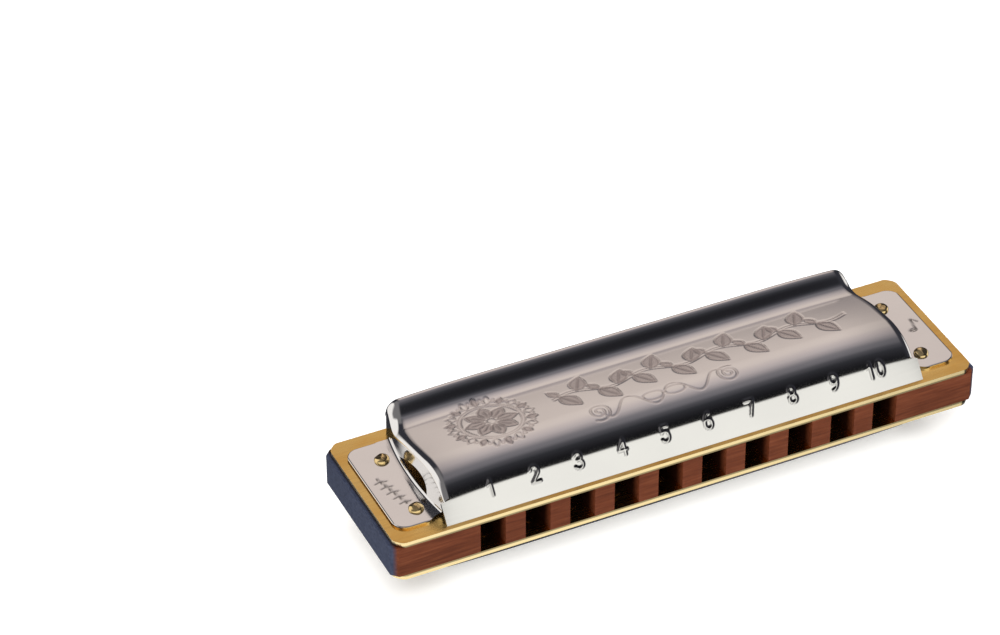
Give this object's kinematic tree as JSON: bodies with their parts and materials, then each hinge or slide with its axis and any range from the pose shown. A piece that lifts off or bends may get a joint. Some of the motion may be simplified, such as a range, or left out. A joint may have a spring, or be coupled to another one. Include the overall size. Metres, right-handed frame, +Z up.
{
  "type": "harmonica",
  "caption": "Diatonic mouth organ with polished steel covers, brass reed plates and reeds, and a wooden comb with square mouth holes.",
  "frame": {"origin": "on the surface it lies on, under the middle of the comb", "axes": "+X along the holes from hole 1 to hole 10, -Y towards the player, +Z up through the upper cover"},
  "size_m": [0.1026, 0.0264, 0.0197],
  "materials": {
    "wood": "sealed reddish-brown pearwood",
    "plate_brass": "satin rolled brass",
    "reed_brass": "fine filed brass",
    "nail_brass": "polished brass",
    "cover_steel": "mirror-polished stainless steel"
  },
  "bodies": {
    "root": {"comb": "wood", "blow_reed_plate": "plate_brass", "draw_reed_plate": "plate_brass", "upper_cover": "cover_steel", "lower_cover": "cover_steel", "blow_reed_foot_1": "reed_brass", "draw_reed_foot_1": "reed_brass", "blow_reed_foot_2": "reed_brass", "draw_reed_foot_2": "reed_brass", "blow_reed_foot_3": "reed_brass", "draw_reed_foot_3": "reed_brass", "blow_reed_foot_4": "reed_brass", "draw_reed_foot_4": "reed_brass", "blow_reed_foot_5": "reed_brass", "draw_reed_foot_5": "reed_brass", "blow_reed_foot_6": "reed_brass", "draw_reed_foot_6": "reed_brass", "blow_reed_foot_7": "reed_brass", "draw_reed_foot_7": "reed_brass", "blow_reed_foot_8": "reed_brass", "draw_reed_foot_8": "reed_brass", "blow_reed_foot_9": "reed_brass", "draw_reed_foot_9": "reed_brass", "blow_reed_foot_10": "reed_brass", "draw_reed_foot_10": "reed_brass", "upper_cover_nail_1": "nail_brass", "upper_cover_nail_2": "nail_brass", "upper_cover_nail_3": "nail_brass", "upper_cover_nail_4": "nail_brass", "upper_plate_nail_1": "nail_brass", "upper_plate_nail_2": "nail_brass", "upper_plate_nail_3": "nail_brass", "lower_cover_nail_1": "nail_brass", "lower_cover_nail_2": "nail_brass", "lower_cover_nail_3": "nail_brass", "lower_cover_nail_4": "nail_brass", "lower_plate_nail_1": "nail_brass", "lower_plate_nail_2": "nail_brass", "lower_plate_nail_3": "nail_brass"},
    "blow_reed_1": {"blow_reed_1": "reed_brass"},
    "blow_reed_2": {"blow_reed_2": "reed_brass"},
    "blow_reed_3": {"blow_reed_3": "reed_brass"},
    "blow_reed_4": {"blow_reed_4": "reed_brass"},
    "blow_reed_5": {"blow_reed_5": "reed_brass"},
    "blow_reed_6": {"blow_reed_6": "reed_brass"},
    "blow_reed_7": {"blow_reed_7": "reed_brass"},
    "blow_reed_8": {"blow_reed_8": "reed_brass"},
    "blow_reed_9": {"blow_reed_9": "reed_brass"},
    "blow_reed_10": {"blow_reed_10": "reed_brass"},
    "draw_reed_1": {"draw_reed_1": "reed_brass"},
    "draw_reed_2": {"draw_reed_2": "reed_brass"},
    "draw_reed_3": {"draw_reed_3": "reed_brass"},
    "draw_reed_4": {"draw_reed_4": "reed_brass"},
    "draw_reed_5": {"draw_reed_5": "reed_brass"},
    "draw_reed_6": {"draw_reed_6": "reed_brass"},
    "draw_reed_7": {"draw_reed_7": "reed_brass"},
    "draw_reed_8": {"draw_reed_8": "reed_brass"},
    "draw_reed_9": {"draw_reed_9": "reed_brass"},
    "draw_reed_10": {"draw_reed_10": "reed_brass"}
  },
  "joints": [
    {"name": "blow_reed_1_bend", "type": "hinge", "parent": "root", "child": "blow_reed_1", "pos_m": [-0.03442, 0.00545, 0.01246], "axis": [1, 0, 0], "range_deg": [-3.66, 3.66], "stiffness_Nm_per_rad": 0.03},
    {"name": "blow_reed_2_bend", "type": "hinge", "parent": "root", "child": "blow_reed_2", "pos_m": [-0.02678, 0.00484, 0.01246], "axis": [1, 0, 0], "range_deg": [-3.6, 3.6], "stiffness_Nm_per_rad": 0.034},
    {"name": "blow_reed_3_bend", "type": "hinge", "parent": "root", "child": "blow_reed_3", "pos_m": [-0.01912, 0.00423, 0.01246], "axis": [1, 0, 0], "range_deg": [-3.53, 3.53], "stiffness_Nm_per_rad": 0.038},
    {"name": "blow_reed_4_bend", "type": "hinge", "parent": "root", "child": "blow_reed_4", "pos_m": [-0.01148, 0.00362, 0.01246], "axis": [1, 0, 0], "range_deg": [-3.46, 3.46], "stiffness_Nm_per_rad": 0.042},
    {"name": "blow_reed_5_bend", "type": "hinge", "parent": "root", "child": "blow_reed_5", "pos_m": [-0.00382, 0.00301, 0.01246], "axis": [1, 0, 0], "range_deg": [-3.38, 3.38], "stiffness_Nm_per_rad": 0.046},
    {"name": "blow_reed_6_bend", "type": "hinge", "parent": "root", "child": "blow_reed_6", "pos_m": [0.00382, 0.00239, 0.01246], "axis": [1, 0, 0], "range_deg": [-3.29, 3.29], "stiffness_Nm_per_rad": 0.05},
    {"name": "blow_reed_7_bend", "type": "hinge", "parent": "root", "child": "blow_reed_7", "pos_m": [0.01148, 0.00178, 0.01246], "axis": [1, 0, 0], "range_deg": [-3.2, 3.2], "stiffness_Nm_per_rad": 0.054},
    {"name": "blow_reed_8_bend", "type": "hinge", "parent": "root", "child": "blow_reed_8", "pos_m": [0.01912, 0.00117, 0.01246], "axis": [1, 0, 0], "range_deg": [-3.1, 3.1], "stiffness_Nm_per_rad": 0.058},
    {"name": "blow_reed_9_bend", "type": "hinge", "parent": "root", "child": "blow_reed_9", "pos_m": [0.02678, 0.00056, 0.01246], "axis": [1, 0, 0], "range_deg": [-2.98, 2.98], "stiffness_Nm_per_rad": 0.062},
    {"name": "blow_reed_10_bend", "type": "hinge", "parent": "root", "child": "blow_reed_10", "pos_m": [0.03442, -0.00005, 0.01246], "axis": [1, 0, 0], "range_deg": [-2.85, 2.85], "stiffness_Nm_per_rad": 0.066},
    {"name": "draw_reed_1_bend", "type": "hinge", "parent": "root", "child": "draw_reed_1", "pos_m": [-0.03442, -0.008, 0.00606], "axis": [1, 0, 0], "range_deg": [-3.66, 3.66], "stiffness_Nm_per_rad": 0.03},
    {"name": "draw_reed_2_bend", "type": "hinge", "parent": "root", "child": "draw_reed_2", "pos_m": [-0.02678, -0.008, 0.00606], "axis": [1, 0, 0], "range_deg": [-3.6, 3.6], "stiffness_Nm_per_rad": 0.034},
    {"name": "draw_reed_3_bend", "type": "hinge", "parent": "root", "child": "draw_reed_3", "pos_m": [-0.01912, -0.008, 0.00606], "axis": [1, 0, 0], "range_deg": [-3.53, 3.53], "stiffness_Nm_per_rad": 0.038},
    {"name": "draw_reed_4_bend", "type": "hinge", "parent": "root", "child": "draw_reed_4", "pos_m": [-0.01148, -0.008, 0.00606], "axis": [1, 0, 0], "range_deg": [-3.46, 3.46], "stiffness_Nm_per_rad": 0.042},
    {"name": "draw_reed_5_bend", "type": "hinge", "parent": "root", "child": "draw_reed_5", "pos_m": [-0.00382, -0.008, 0.00606], "axis": [1, 0, 0], "range_deg": [-3.38, 3.38], "stiffness_Nm_per_rad": 0.046},
    {"name": "draw_reed_6_bend", "type": "hinge", "parent": "root", "child": "draw_reed_6", "pos_m": [0.00382, -0.008, 0.00606], "axis": [1, 0, 0], "range_deg": [-3.29, 3.29], "stiffness_Nm_per_rad": 0.05},
    {"name": "draw_reed_7_bend", "type": "hinge", "parent": "root", "child": "draw_reed_7", "pos_m": [0.01148, -0.008, 0.00606], "axis": [1, 0, 0], "range_deg": [-3.2, 3.2], "stiffness_Nm_per_rad": 0.054},
    {"name": "draw_reed_8_bend", "type": "hinge", "parent": "root", "child": "draw_reed_8", "pos_m": [0.01912, -0.008, 0.00606], "axis": [1, 0, 0], "range_deg": [-3.1, 3.1], "stiffness_Nm_per_rad": 0.058},
    {"name": "draw_reed_9_bend", "type": "hinge", "parent": "root", "child": "draw_reed_9", "pos_m": [0.02678, -0.008, 0.00606], "axis": [1, 0, 0], "range_deg": [-2.98, 2.98], "stiffness_Nm_per_rad": 0.062},
    {"name": "draw_reed_10_bend", "type": "hinge", "parent": "root", "child": "draw_reed_10", "pos_m": [0.03442, -0.008, 0.00606], "axis": [1, 0, 0], "range_deg": [-2.85, 2.85], "stiffness_Nm_per_rad": 0.066}
  ]
}
